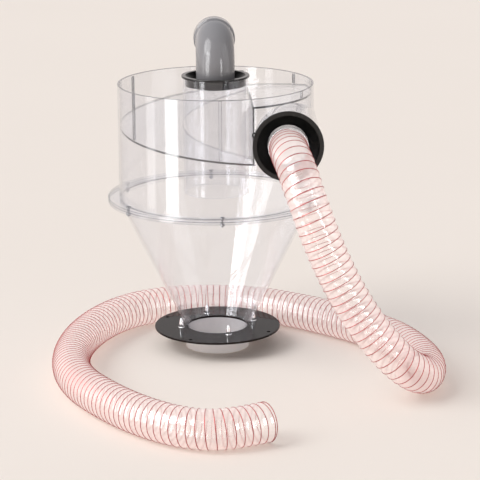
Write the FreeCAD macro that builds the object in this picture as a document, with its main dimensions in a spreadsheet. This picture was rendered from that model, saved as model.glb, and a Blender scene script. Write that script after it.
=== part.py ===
"""Clear workshop cyclone separator with its wire-wound dust hose.

Frame: millimetres, +Z up, the floor under the dust outlet at z = 0 and the cyclone's axis on Z.
The inlet points along -Y on the +X side, and the outlet elbow points along +Y.
Levels, from the floor up: dust outlet ring, bin flange, cone, the pair of joint rings (the parting
plane lies between them), the round body, and its open rim.
"""

import FreeCAD, Part
import math
import os

import Sketcher

Vector = FreeCAD.Vector

# name, value (mm, or degrees for an angle), what it is
SIZES = (
    ("fit_gap", 0.2, "glue line or running fit between pieces"),
    ("ring_height", 30, "dust outlet ring, floor to bin flange"),
    ("bin_flange_diameter", 200, "black flange that screws to a bin lid"),
    ("bin_flange_thickness", 3, ""),
    ("bin_hole_inset", 9, "bin mounting holes, in from the flange's edge"),
    ("bin_hole_diameter", 5.5, ""),
    ("bin_hole_angle", 62.5, "first mounting hole, from -Y towards +X"),
    ("cone_height", 207, ""),
    ("body_diameter", 304.8, "twelve inch tube"),
    ("flange_reach", 17.6, "pair of clear joint rings, out past the body"),
    ("flange_thickness", 4, "each joint ring"),
    ("body_wall_thickness", 3, ""),
    ("body_height", 181.8, "parting plane to open rim"),
    ("tube_diameter", 101.6, "four inch tube: inlet, outlet and dust outlet"),
    ("tube_wall", 3.2, ""),
    ("outlet_tube_length", 183, ""),
    ("outlet_above_rim", 9, "outlet tube's top edge over the rim"),
    ("inlet_below_rim", 13.7, "inlet tube's top under the rim"),
    ("inlet_stand_out", 5.1, "inlet tube's side, out past the body"),
    ("inlet_lead", 23.3, "inlet tube's mouth, out past the body"),
    ("sheet_thickness", 3, "ramp and step plate"),
    ("ramp_below_rim", 12.7, "ramp's high, flat part under the rim"),
    ("ramp_start", 18, "where the ramp starts to fall, from +X towards +Y"),
    ("ramp_drop", 114, "fall of the ramp in one turn"),
    ("step_skew", 1.5, "step plate's turn from -Y towards the inlet"),
    ("strip_width", 5, "vertical strips over the ramp"),
    ("strip_thickness", 3, ""),
    ("strip_below_rim", 1.5, ""),
    ("strip_angle", 2.5, "first strip, from -Y towards +X"),
    ("pipe_diameter", 60.3, "two inch plastic pipe"),
    ("pipe_wall", 3.9, ""),
    ("elbow_rise", 61.2, "elbow's level axis over the rim"),
    ("bend_radius", 42, "elbow's centre line"),
    ("elbow_turn", 1.6, "elbow's mouth, from +Y towards -X"),
    ("hub_reach", 2.35, "socket's outside, out past the pipe"),
    ("hub_length", 24, ""),
    ("socket_depth", 20, ""),
    ("collar_reach", 2.2, "black reducer's lip, out past its tube"),
    ("collar_lip", 3, "lip's thickness"),
    ("dish_inset", 1.9, "reducer's dish at its lip, in from the tube's bore"),
    ("dish_depth", 12, ""),
    ("collar_wall", 2.2, ""),
    ("skirt_length", 13, "part of the reducer inside its tube"),
    ("neck_length", 7.5, "reducer's grip on the pipe"),
    ("ear_diameter", 8, "moulded ring on the reducer's lip"),
    ("ear_hole", 3.2, ""),
    ("outlet_ear_angle", 40, "outlet reducer's ear, from +X towards +Y"),
    ("inlet_ear_angle", 161, "inlet reducer's ear, from +X up to -X"),
    ("cuff_length", 29.5, "hose's smooth end in the inlet reducer"),
    ("cuff_out", 10, "cuff's end, out from the lip"),
    ("hose_step", 1.15, "hose's surface, in from its cuff's"),
    ("hose_wall", 2, ""),
    ("hose_clearance", 0.3, "between the hose and the floor"),
    ("hose_start", 33, "hose's level run out of the cuff, to its first corner"),
    ("hose_touch_down", 3, "hose's height over its rest where it first meets the floor"),
    ("joint_screw_reach", 8.6, "joint screws, out past the body"),
    ("joint_screw_angle", 3, "first joint screw, from -Y towards +X"),
    ("joint_screw_diameter", 4, ""),
    ("joint_head_diameter", 7.6, ""),
    ("joint_head_height", 2.6, ""),
    ("joint_nut_width", 7, "across its flats"),
    ("joint_nut_height", 3.2, ""),
    ("joint_screw_tail", 2, "thread past the nut"),
    ("bin_screw_reach", 1.35, "bin screws, out from the cone at the height of their tips"),
    ("bin_screw_angle", 16.5, "first bin screw, from -Y towards +X"),
    ("bin_screw_diameter", 4, ""),
    ("bin_head_diameter", 8, ""),
    ("bin_head_height", 2.2, ""),
    ("cap_base_diameter", 10.4, "cap nut's washer"),
    ("cap_base_height", 1.4, ""),
    ("cap_diameter", 7.8, ""),
    ("cap_height", 16, "flange to the cap nut's tip"),
    ("cap_straight", 6.1, "flange to where the cap nut starts to taper"),
    ("cap_waist_height", 11.2, ""),
    ("cap_waist_diameter", 5.9, ""),
    ("cap_tip_diameter", 2.5, ""),
)
JOINT_SCREWS = 6
STRIPS = 6
BIN_SCREWS = 4
BIN_HOLES = 4
LAP = 0.5  # degrees that the ramp's flat part laps its falling part
CURVE_RUNS = 8  # points along a curve that is fitted through the ramp's underside, less one
DIGITS = 3  # decimal places of the printed values
FULL_TURN = 360
QUARTER = 90

doc = FreeCAD.newDocument("CycloneSeparator")
sheet = doc.addObject("Spreadsheet::Sheet", "Sizes")
for row, (alias, value, meaning) in enumerate(SIZES, start=1):
    sheet.set(f"A{row}", meaning or alias.replace("_", " "))
    sheet.set(f"B{row}", str(value))
    sheet.setAlias(f"B{row}", alias)
doc.recompute()

pieces = []


def size(alias):
    """A cell of the sheet as a number."""
    return float(sheet.get(alias))


def finish(item, label):
    """Names a finished sub-part and puts it on the list that is checked and written."""
    item.Label = label
    pieces.append(item)
    return item


def bind(item, **sizes):
    """Ties properties to sheet expressions, with __ for the dot in a property's path."""
    for path, expression in sizes.items():
        item.setExpression(path.replace("__", "."), expression)
    return item


def primitive(kind, name, **sizes):
    return bind(doc.addObject(f"Part::{kind}", name), **sizes)


def cut(name, base, tool):
    result = doc.addObject("Part::Cut", name)
    result.Base = base
    result.Tool = tool
    return result


def fuse(name, *shapes):
    result = doc.addObject("Part::MultiFuse", name)
    result.Shapes = list(shapes)
    return result


def turn(item, axis, degrees):
    item.Placement = FreeCAD.Placement(Vector(), FreeCAD.Rotation(axis, degrees))
    return item


def plane_of(body, role):
    return next(f for f in body.Origin.OriginFeatures if f.Role == role)


# Levels and radii that several pieces share, as sheet expressions.
FLANGE_TOP = "(Sizes.ring_height + Sizes.bin_flange_thickness)"
CONE_TOP = f"({FLANGE_TOP} + Sizes.cone_height)"
PARTING = f"({CONE_TOP} + Sizes.flange_thickness)"
RIM = f"({PARTING} + Sizes.body_height)"
BODY_OUTSIDE = "(Sizes.body_diameter / 2)"
BODY_INSIDE = "(Sizes.body_diameter / 2 - Sizes.body_wall_thickness)"
TUBE_OUTSIDE = "(Sizes.tube_diameter / 2)"
TUBE_BORE = "(Sizes.tube_diameter / 2 - Sizes.tube_wall)"
OUTLET_TOP = f"({RIM} + Sizes.outlet_above_rim)"
PIPE_OUTSIDE = "(Sizes.pipe_diameter / 2)"
INLET_X = f"({BODY_OUTSIDE} + Sizes.inlet_stand_out - {TUBE_OUTSIDE})"
INLET_Z = f"({RIM} - Sizes.inlet_below_rim - {TUBE_OUTSIDE})"
INLET_REACH = f"({BODY_OUTSIDE} + Sizes.inlet_lead)"
FLANGE_OUTSIDE = f"({BODY_OUTSIDE} + Sizes.flange_reach)"
COLLAR_OUTSIDE = f"({TUBE_OUTSIDE} + Sizes.collar_reach)"


LOOP_CENTRE = Vector(100, 100, 0)
LOOP_RADIUS = 50


def turned(name, outline):
    """A body of revolution about Z: outline is a closed list of (radius, height) expressions.

    The sketch is drawn as a rough round loop, and its constraints then pull it to the outline.
    """
    body = doc.addObject("PartDesign::Body", name)
    sketch = body.newObject("Sketcher::SketchObject", name + "Outline")
    sketch.AttachmentSupport = [(plane_of(body, "XZ_Plane"), "")]
    sketch.MapMode = "FlatFace"
    count = len(outline)
    angles = [2 * math.pi * i / count for i in range(count + 1)]
    corners = [LOOP_CENTRE + LOOP_RADIUS * Vector(math.cos(a), math.sin(a), 0) for a in angles]
    for first, second in zip(corners, corners[1:]):
        sketch.addGeometry(Part.LineSegment(first, second), False)
    for i in range(count):
        sketch.addConstraint(Sketcher.Constraint("Coincident", i, 2, (i + 1) % count, 1))
    for i, (radius, height) in enumerate(outline):
        for kind, expression, axis, start in (
            ("DistanceX", radius, -2, corners[i].x),
            ("DistanceY", height, -1, corners[i].y),
        ):
            if expression == "0":
                sketch.addConstraint(Sketcher.Constraint("PointOnObject", i, 1, axis))
            else:
                index = sketch.addConstraint(Sketcher.Constraint(kind, -1, 1, i, 1, start))
                sketch.setExpression(f"Constraints[{index}]", expression)
    doc.recompute()
    solid = body.newObject("PartDesign::Revolution", name + "Turned")
    solid.Profile = sketch
    solid.ReferenceAxis = (sketch, ["V_Axis"])
    solid.Angle = FULL_TURN
    sketch.Visibility = False
    doc.recompute()
    return body


def holes(body, name, reach, diameter, angle, count):
    """Drills a ring of holes down through a turned body, the first at angle from -Y to +X."""
    before = body.Shape.Volume
    sketch = body.newObject("Sketcher::SketchObject", name + "Place")
    sketch.AttachmentSupport = [(plane_of(body, "XY_Plane"), "")]
    sketch.MapMode = "FlatFace"
    hole = sketch.addGeometry(Part.Circle(LOOP_CENTRE, Vector(0, 0, 1), 1), False)
    for kind, position in (("DistanceX", f"sin({angle})"), ("DistanceY", f"-cos({angle})")):
        index = sketch.addConstraint(Sketcher.Constraint(kind, -1, 1, hole, 3, LOOP_CENTRE.x))
        sketch.setExpression(f"Constraints[{index}]", f"{reach} * {position}")
    index = sketch.addConstraint(Sketcher.Constraint("Diameter", hole, 2))
    sketch.setExpression(f"Constraints[{index}]", diameter)
    doc.recompute()
    pocket = body.newObject("PartDesign::Pocket", name + "Drilled")
    pocket.Profile = sketch
    pocket.Type = "ThroughAll"
    pocket.Midplane = True
    doc.recompute()
    pattern = body.newObject("PartDesign::PolarPattern", name + "Ring")
    pattern.Originals = [pocket]
    pattern.Axis = (sketch, ["N_Axis"])
    pattern.Angle = FULL_TURN
    pattern.Occurrences = count
    body.Tip = pattern
    sketch.Visibility = False
    doc.recompute()
    drilled = before - body.Shape.Volume
    print(f"{name}: {count} holes, {drilled:.1f} mm3 drilled out")
    return body


def tube(name, radius, bore, low, high):
    return turned(name, [(bore, low), (radius, low), (radius, high), (bore, high)])


# --- dust outlet and bin flange -----------------------------------------------------------------

finish(
    tube("DustRing", TUBE_OUTSIDE, TUBE_BORE, "0", "Sizes.ring_height"),
    "dust_outlet_ring",
)

# The screws stand clear of the cone, which leans out over them.
CONE_AT_TIP = (
    f"({TUBE_OUTSIDE} + ({BODY_OUTSIDE} - {TUBE_OUTSIDE}) * Sizes.cap_height / Sizes.cone_height)"
)
BIN_SCREW_REACH = f"({CONE_AT_TIP} + Sizes.bin_screw_reach)"
bin_flange = tube(
    "BinFlange", "Sizes.bin_flange_diameter / 2", TUBE_BORE, "Sizes.ring_height", FLANGE_TOP
)
holes(
    bin_flange,
    "BinMount",
    "(Sizes.bin_flange_diameter / 2 - Sizes.bin_hole_inset)",
    "Sizes.bin_hole_diameter",
    "Sizes.bin_hole_angle",
    BIN_HOLES,
)
holes(
    bin_flange,
    "BinScrew",
    BIN_SCREW_REACH,
    "Sizes.bin_screw_diameter + 2 * Sizes.fit_gap",
    "Sizes.bin_screw_angle",
    BIN_SCREWS,
)
finish(bin_flange, "bin_flange")

# --- cone, joint rings and body -----------------------------------------------------------------

# The wall is the tube's wall thickness at the bottom and the body's at the top, measured level.
finish(
    turned(
        "Cone",
        [
            (TUBE_BORE, FLANGE_TOP),
            (TUBE_OUTSIDE, FLANGE_TOP),
            (BODY_OUTSIDE, CONE_TOP),
            (BODY_INSIDE, CONE_TOP),
        ],
    ),
    "cone",
)


JOINT_SCREW_REACH = f"({BODY_OUTSIDE} + Sizes.joint_screw_reach)"


def joint_ring(name, bore, low, high, label):
    ring = tube(name, FLANGE_OUTSIDE, bore, low, high)
    holes(
        ring,
        name + "Hole",
        JOINT_SCREW_REACH,
        "Sizes.joint_screw_diameter + 2 * Sizes.fit_gap",
        "Sizes.joint_screw_angle",
        JOINT_SCREWS,
    )
    finish(ring, label)


joint_ring("LowerRing", BODY_INSIDE, CONE_TOP, PARTING, "lower_joint_ring")
joint_ring(
    "UpperRing",
    f"({BODY_OUTSIDE} + Sizes.fit_gap)",
    PARTING,
    f"({PARTING} + Sizes.flange_thickness)",
    "upper_joint_ring",
)


def level_rod(name, radius, x, z, length):
    """A cylinder lying along -Y from the plane y = 0."""
    rod = turn(primitive("Cylinder", name, Radius=radius, Height=length), Vector(1, 0, 0), QUARTER)
    return bind(rod, Placement__Base__x=x, Placement__Base__z=z)


wall = tube("BodyTube", BODY_OUTSIDE, BODY_INSIDE, PARTING, RIM)
port = level_rod("InletPort", TUBE_BORE, INLET_X, INLET_Z, "Sizes.body_diameter")
finish(cut("BodyWall", wall, port), "body_wall")

# The inlet tube is coped to the body and trimmed square on the body's centre plane, where a piece
# of sheet closes the sliver of its bore that stands out past the body.
inlet_bore = level_rod("InletBore", TUBE_BORE, INLET_X, INLET_Z, INLET_REACH)
blank = cut(
    "InletBlank",
    level_rod("InletOutside", TUBE_OUTSIDE, INLET_X, INLET_Z, INLET_REACH),
    bind(inlet_bore, Placement__Base__y="-Sizes.sheet_thickness"),
)
cope = primitive("Cylinder", "InletCope", Radius=f"{BODY_OUTSIDE} + Sizes.fit_gap", Height=RIM)
finish(cut("InletTube", blank, cope), "inlet_tube")

finish(
    tube(
        "OutletTube", TUBE_OUTSIDE, TUBE_BORE, f"{OUTLET_TOP} - Sizes.outlet_tube_length", OUTLET_TOP
    ),
    "outlet_tube",
)

# --- spiral ramp, step plate and strips ---------------------------------------------------------

gap = size("fit_gap")
thickness = size("sheet_thickness")
drop = size("ramp_drop")
start_angle = size("ramp_start")
ramp_outside = size("body_diameter") / 2 - size("body_wall_thickness") - gap
ramp_inside = size("tube_diameter") / 2 + gap
big = size("body_diameter")
RAMP_TOP = f"({RIM} - Sizes.ramp_below_rim)"


def ramp_fall(angle):
    """How far the ramp's top lies under its high, flat part at an angle from +X towards +Y."""
    return drop * max(angle - start_angle, 0) / FULL_TURN


def ring_sector(angle):
    """The flat ring that the ramp covers, one sheet thick, from +X round to an angle."""
    low = Vector(0, 0, -thickness)
    up = Vector(0, 0, 1)
    outer = Part.makeCylinder(ramp_outside, thickness, low, up, angle)
    return outer.cut(Part.makeCylinder(ramp_inside, thickness, low, up, FULL_TURN))


# The step plate's inner face starts beside the outlet tube, and runs out at a small angle to the
# inlet tube's side. Along the step is the way out, and across it is the way to the inlet.
step_foot = Vector(ramp_inside, 0, 0)
skew = FreeCAD.Rotation(Vector(0, 0, 1), size("step_skew"))
along_step = skew.multVec(Vector(0, -1, 0))
across_step = skew.multVec(Vector(1, 0, 0))


def past_step(shift):
    """All the space on the inlet's side of the step plane, shifted across it."""
    space = Part.makeBox(big, big, 2 * big, Vector(0, -big, -big))
    space.Placement = FreeCAD.Placement(step_foot + across_step * shift, skew)
    return space


flat_end = ring_sector(start_angle + LAP)
flat = ring_sector(FULL_TURN).common(past_step(0)).fuse(flat_end)
# The blade is left-handed: it falls from the flat part's end, round by +Y, to the step.
blade_fall = ramp_fall(FULL_TURN)
spine = Part.makeHelix(drop, blade_fall, ramp_inside, 0, True)
blade_profile = Part.makePolygon(
    [
        Vector(ramp_inside, 0, 0),
        Vector(ramp_outside, 0, 0),
        Vector(ramp_outside, 0, -thickness),
        Vector(ramp_inside, 0, -thickness),
        Vector(ramp_inside, 0, 0),
    ]
)
blade = Part.Wire(spine).makePipeShell([blade_profile], True, True)
blade.translate(Vector(0, 0, -blade_fall))
# Only the blade's low end is cut back to the step: its high end lies on the other side.
blade = blade.cut(past_step(-gap))
ramp = doc.addObject("Part::Feature", "Ramp")
ramp.Shape = flat.fuse(blade).removeSplitter()
bind(finish(ramp, "spiral_ramp"), Placement__Base__z=RAMP_TOP)

# The step plate closes the step from the flat part's underside to the underside of the low end.
outer_face = step_foot.dot(across_step) + thickness
step_length = math.sqrt(ramp_outside**2 - outer_face**2) - step_foot.dot(along_step)
low_edge = []
for share in range(CURVE_RUNS + 1):
    point = step_foot + along_step * (step_length * (1 - share / CURVE_RUNS))
    angle = FULL_TURN + math.degrees(math.atan2(point.y, point.x))
    low_edge.append(Vector(point.x, point.y, -ramp_fall(angle) - thickness))
curve = Part.BSplineCurve()
curve.interpolate(low_edge)
plate_top = -thickness - gap
top_outer = Vector(low_edge[0].x, low_edge[0].y, plate_top)
top_inner = Vector(step_foot.x, step_foot.y, plate_top)
plate_edges = [
    curve.toShape(),
    Part.LineSegment(low_edge[-1], top_inner).toShape(),
    Part.LineSegment(top_inner, top_outer).toShape(),
    Part.LineSegment(top_outer, low_edge[0]).toShape(),
]
plate = doc.addObject("Part::Feature", "StepPlate")
plate.Shape = Part.Face(Part.Wire(plate_edges)).extrude(across_step * thickness)
bind(finish(plate, "ramp_step_plate"), Placement__Base__z=RAMP_TOP)

# Strips stand on the ramp against the wall. Each foot clears the ramp at its uphill side.
strip_face = ramp_outside - gap
half_width = math.degrees(math.asin(size("strip_width") / 2 / strip_face))
for number in range(STRIPS):
    angle = (size("strip_angle") - QUARTER + number * FULL_TURN / STRIPS) % FULL_TURN
    place = strip_face * Vector(math.cos(math.radians(angle)), math.sin(math.radians(angle)), 0)
    on_flat = angle > FULL_TURN / 2 and (place - step_foot).dot(across_step) > 0
    fall = 0 if on_flat else ramp_fall(angle - half_width)
    strip = doc.addObject("Part::Box", f"Strip{number + 1}")
    radius = f"({BODY_INSIDE} - 2 * Sizes.fit_gap - Sizes.strip_thickness)"
    turned_by = f"(Sizes.strip_angle - {QUARTER} + {number * FULL_TURN / STRIPS})"
    bind(
        strip,
        Length="Sizes.strip_thickness",
        Width="Sizes.strip_width",
        Height=f"Sizes.ramp_below_rim - Sizes.strip_below_rim - Sizes.fit_gap + {fall:.{DIGITS}f}",
        Placement__Rotation__Angle=turned_by,
        Placement__Base__x=f"{radius} * cos({turned_by}) + Sizes.strip_width / 2 * sin({turned_by})",
        Placement__Base__y=f"{radius} * sin({turned_by}) - Sizes.strip_width / 2 * cos({turned_by})",
        Placement__Base__z=f"{RAMP_TOP} + Sizes.fit_gap - {fall:.{DIGITS}f}",
    )
    finish(strip, f"ramp_strip_{number + 1}")

# --- reducers: black collars from the four inch tubes to the two inch pipe and hose --------------

NECK_BORE = f"({PIPE_OUTSIDE} + Sizes.fit_gap)"
SKIRT = f"({TUBE_BORE} - Sizes.fit_gap)"
NECK_LOW = "(Sizes.dish_depth + Sizes.neck_length)"


def reducer(name, ear_angle):
    """A collar with its lip's outer face at z = 0, its skirt and neck below, and one ear."""
    lip_face = NECK_LOW  # heights are measured up from the neck's end
    under_lip = f"({lip_face} - Sizes.collar_lip)"
    neck_outside = f"({NECK_BORE} + Sizes.collar_wall)"
    body = turned(
        name + "Shell",
        [
            (NECK_BORE, "0"),
            (neck_outside, "0"),
            (neck_outside, "(Sizes.neck_length - Sizes.collar_wall)"),
            (f"({SKIRT} - Sizes.collar_wall)", f"({under_lip} - Sizes.collar_wall)"),
            (f"({SKIRT} - Sizes.collar_wall)", f"({under_lip} - Sizes.skirt_length)"),
            (SKIRT, f"({under_lip} - Sizes.skirt_length)"),
            (SKIRT, under_lip),
            (COLLAR_OUTSIDE, under_lip),
            (COLLAR_OUTSIDE, lip_face),
            (f"({TUBE_BORE} - Sizes.dish_inset)", lip_face),
            (NECK_BORE, "Sizes.neck_length"),
        ],
    )
    place = dict(
        Placement__Base__x=f"{COLLAR_OUTSIDE} * cos({ear_angle})",
        Placement__Base__y=f"{COLLAR_OUTSIDE} * sin({ear_angle})",
    )
    ear = primitive(
        "Cylinder",
        name + "Ear",
        Radius="Sizes.ear_diameter / 2",
        Height="Sizes.collar_lip",
        Placement__Base__z=under_lip,
        **place,
    )
    hole = primitive("Cylinder", name + "EarHole", Radius="Sizes.ear_hole / 2", Height=lip_face, **place)
    return cut(name, fuse(name + "Whole", body, ear), hole)


outlet_collar = reducer("OutletCollar", "Sizes.outlet_ear_angle")
bind(outlet_collar, Placement__Base__z=f"{OUTLET_TOP} + Sizes.collar_lip - {NECK_LOW}")
finish(outlet_collar, "outlet_collar")

LIP_Y = f"({INLET_REACH} + Sizes.collar_lip)"
inlet_collar = turn(reducer("InletCollar", "Sizes.inlet_ear_angle"), Vector(1, 0, 0), 90)
bind(
    inlet_collar,
    Placement__Base__x=INLET_X,
    Placement__Base__y=f"{NECK_LOW} - {LIP_Y}",
    Placement__Base__z=INLET_Z,
)
finish(inlet_collar, "inlet_collar")

# --- grey elbow ---------------------------------------------------------------------------------

PIPE_LOW = f"({OUTLET_TOP} + Sizes.collar_lip - {NECK_LOW})"
BEND_START = f"({RIM} + Sizes.elbow_rise - Sizes.bend_radius)"
ELBOW_Z = f"({RIM} + Sizes.elbow_rise)"
torus_turn = FreeCAD.Rotation(Vector(0, -1, 0), Vector(0, 0, 1), Vector(-1, 0, 0), "XYZ")


def elbow_run(name, radius, ends):
    """Upright leg and quarter bend of one radius, with ends more cylinders along +Y."""
    leg = primitive(
        "Cylinder",
        name + "Leg",
        Radius=radius,
        Height=f"{BEND_START} - {PIPE_LOW}",
        Placement__Base__z=PIPE_LOW,
    )
    bend = doc.addObject("Part::Torus", name + "Bend")
    bend.Angle1 = -2 * QUARTER
    bend.Angle2 = 2 * QUARTER
    bend.Angle3 = QUARTER
    bend.Placement = FreeCAD.Placement(Vector(), torus_turn)
    bind(
        bend,
        Radius1="Sizes.bend_radius",
        Radius2=radius,
        Placement__Base__y="Sizes.bend_radius",
        Placement__Base__z=BEND_START,
    )
    parts = [leg, bend]
    for index, (end_radius, start, length) in enumerate(ends):
        rod = primitive("Cylinder", f"{name}End{index}", Radius=end_radius, Height=length)
        turn(rod, Vector(1, 0, 0), -QUARTER)
        parts.append(bind(rod, Placement__Base__y=start, Placement__Base__z=ELBOW_Z))
    return fuse(name, *parts)


SHOULDER = "(Sizes.bend_radius + Sizes.hub_length - Sizes.socket_depth)"
outside = elbow_run(
    "ElbowOutside",
    PIPE_OUTSIDE,
    [(f"{PIPE_OUTSIDE} + Sizes.hub_reach", "Sizes.bend_radius", "Sizes.hub_length")],
)
inside = elbow_run(
    "ElbowInside",
    f"({PIPE_OUTSIDE} - Sizes.pipe_wall)",
    [
        (f"{PIPE_OUTSIDE} - Sizes.pipe_wall", "Sizes.bend_radius", "Sizes.hub_length"),
        (NECK_BORE, SHOULDER, "Sizes.socket_depth"),
    ],
)
elbow = bind(cut("Elbow", outside, inside), Placement__Rotation__Angle="Sizes.elbow_turn")
finish(elbow, "outlet_elbow")

# --- inlet cuff and hose ------------------------------------------------------------------------

CUFF_BORE = f"({PIPE_OUTSIDE} - Sizes.hose_step - Sizes.hose_wall)"
cuff = turn(
    tube("Cuff", PIPE_OUTSIDE, CUFF_BORE, "0", "Sizes.cuff_length"), Vector(1, 0, 0), QUARTER
)
bind(
    cuff,
    Placement__Base__x=INLET_X,
    Placement__Base__y=f"Sizes.cuff_length - {LIP_Y} - Sizes.cuff_out",
    Placement__Base__z=INLET_Z,
)
finish(cuff, "hose_cuff")

# Points that the hose passes near, from the cuff's end: down in the air, round the back, and
# forward to its free end. It touches down at the eighth point, and lies on the floor from the ninth.
doc.recompute()
hose_outside = size("pipe_diameter") / 2 - size("hose_step")
rest = hose_outside + size("hose_clearance")
touch_down = rest + size("hose_touch_down")
exit_way = Vector(0, -1, 0)
cuff_end = cuff.Placement.Base + exit_way * size("cuff_length")
first_corner = cuff_end + exit_way * size("hose_start")
HOSE_ROUTE = [
    cuff_end,
    first_corner,
    Vector(114, -258, 351),
    Vector(128, -298, 312),
    Vector(158, -305, 228),
    Vector(202, -305, 142),
    Vector(258, -306, 70),
    Vector(302, -273, touch_down),
    Vector(317, -209, rest),
    Vector(302, -131, rest),
    Vector(272, -58, rest),
    Vector(217, 7, rest),
    Vector(151, 69, rest),
    Vector(71, 126, rest),
    Vector(-24, 143, rest),
    Vector(-110, 123, rest),
    Vector(-172, 61, rest),
    Vector(-214, -43, rest),
    Vector(-227, -157, rest),
    Vector(-210, -264, rest),
    Vector(-156, -360, rest),
    Vector(-98, -431, rest),
    Vector(-39, -475, rest),
    Vector(19, -477, rest),
    Vector(67, -448, rest),
]
ARC_SHARE = 0.45  # of the shorter run beside a corner


def rounded_path(corners):
    """Straight runs joined by tangent arcs, as large as the runs allow."""
    edges = []
    radii = []
    start = corners[0]
    for before, corner, after in zip(corners, corners[1:], corners[2:]):
        back = (before - corner).normalize()
        ahead = (after - corner).normalize()
        half_turn = (math.pi - back.getAngle(ahead)) / 2
        reach = ARC_SHARE * min((before - corner).Length, (after - corner).Length)
        radius = reach / math.tan(half_turn)
        toward_middle = (back + ahead).normalize()
        centre = corner + toward_middle * (radius / math.cos(half_turn))
        enter = corner + back * reach
        leave = corner + ahead * reach
        edges.append(Part.LineSegment(start, enter).toShape())
        edges.append(Part.Arc(enter, centre - toward_middle * radius, leave).toShape())
        radii.append(radius)
        start = leave
    edges.append(Part.LineSegment(start, corners[-1]).toShape())
    return Part.Wire(edges), radii


path, radii = rounded_path(HOSE_ROUTE)
print("hose arc radii, mm:", " ".join(f"{radius:.0f}" for radius in radii))
hose_bore = hose_outside - size("hose_wall")


def hose_core(radius):
    """The hose's route swept by a circle, as a solid."""
    mouth = Part.Wire(Part.makeCircle(radius, cuff_end, exit_way))
    return path.makePipeShell([mouth], True, False)


hose = doc.addObject("Part::Feature", "Hose")
hose.Shape = hose_core(hose_outside).cut(hose_core(hose_bore))
section = math.pi * (hose_outside**2 - hose_bore**2)
print(
    f"hose {path.Length:.0f} mm long, volume / (section x length) = "
    f"{hose.Shape.Volume / (section * path.Length):.{DIGITS}f}"
)
finish(hose, "hose")

# --- screws -------------------------------------------------------------------------------------


def around(item, reach, angle, height):
    """Stands a piece at a reach from the axis, at an angle from -Y towards +X, at a height."""
    return bind(
        item,
        Placement__Base__x=f"{reach} * sin({angle})",
        Placement__Base__y=f"-{reach} * cos({angle})",
        Placement__Base__z=height,
    )


def joint_screw(number):
    """A pan head screw down through both joint rings, and its nut, as one piece."""
    name = f"JointScrew{number + 1}"
    grip = "2 * Sizes.flange_thickness"
    below = "(Sizes.joint_nut_height + Sizes.joint_screw_tail)"
    shank = primitive(
        "Cylinder",
        name + "Shank",
        Radius="Sizes.joint_screw_diameter / 2",
        Height=f"{grip} + {below}",
    )
    head = primitive(
        "Cylinder",
        name + "Head",
        Radius="Sizes.joint_head_diameter / 2",
        Height="Sizes.joint_head_height",
        Placement__Base__z=f"{grip} + {below}",
    )
    nut = doc.addObject("Part::Prism", name + "Nut")
    nut.Polygon = 6
    bind(
        nut,
        Circumradius="Sizes.joint_nut_width / 2 / cos(30)",
        Height="Sizes.joint_nut_height",
        Placement__Base__z="Sizes.joint_screw_tail",
    )
    screw = fuse(name, shank, head, nut)
    angle = f"(Sizes.joint_screw_angle + {number * FULL_TURN / JOINT_SCREWS})"
    around(screw, JOINT_SCREW_REACH, angle, f"{CONE_TOP} - {below}")
    finish(screw, f"joint_screw_{number + 1}")


def bin_screw(number):
    """A screw up through the bin flange with a tapered cap nut beside the cone."""
    under = "Sizes.bin_head_height"
    through = f"({under} + Sizes.bin_flange_thickness)"
    screw = turned(
        f"BinScrewBody{number + 1}",
        [
            ("0", "0"),
            ("Sizes.bin_head_diameter / 2", "0"),
            ("Sizes.bin_head_diameter / 2", under),
            ("Sizes.bin_screw_diameter / 2", under),
            ("Sizes.bin_screw_diameter / 2", through),
            ("Sizes.cap_base_diameter / 2", through),
            ("Sizes.cap_base_diameter / 2", f"({through} + Sizes.cap_base_height)"),
            ("Sizes.cap_diameter / 2", f"({through} + Sizes.cap_base_height)"),
            ("Sizes.cap_diameter / 2", f"({through} + Sizes.cap_straight)"),
            ("Sizes.cap_waist_diameter / 2", f"({through} + Sizes.cap_waist_height)"),
            ("Sizes.cap_tip_diameter / 2", f"({through} + Sizes.cap_height)"),
            ("0", f"({through} + Sizes.cap_height)"),
        ],
    )
    angle = f"(Sizes.bin_screw_angle + {number * FULL_TURN / BIN_SCREWS})"
    around(screw, BIN_SCREW_REACH, angle, f"Sizes.ring_height - {under}")
    finish(screw, f"bin_screw_{number + 1}")


for number in range(JOINT_SCREWS):
    joint_screw(number)
for number in range(BIN_SCREWS):
    bin_screw(number)

# --- check and write ----------------------------------------------------------------------------

doc.recompute()
for item in doc.Objects:
    if "Invalid" in item.State or "Error" in item.State:
        raise RuntimeError(f"{item.Label} did not build: {item.State}")
for piece in pieces:
    if piece.Shape.isNull() or not piece.Shape.isValid() or not piece.Shape.Solids:
        raise RuntimeError(f"{piece.Label} has no valid solid")
os.makedirs("parts", exist_ok=True)
for piece in pieces:
    piece.Shape.exportStep(f"parts/{piece.Label}.step")
    volume = piece.Shape.Volume / 1000
    print(f"{piece.Label}: {len(piece.Shape.Solids)} solid, {volume:.1f} cm3")
print(f"{len(pieces)} sub-parts")
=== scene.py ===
# %% [markdown]
# # A clear cyclone separator
#
# A cyclone separator spins dusty air so that the dust drops out before the air reaches the
# vacuum. This one is a clear plastic body on a clear cone, with a grey pipe elbow on top and a
# hose wound with copper-coloured wire on its inlet. The exact sizes come from a CAD model that
# is loaded first. The lesson then adds what makes it look real: the camera and the light, the
# hose, rounded edges, and a finish for every material. Sizes are in metres.

import math

import bmesh
import bpy
import numpy as np
from mathutils import Matrix, Vector


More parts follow.
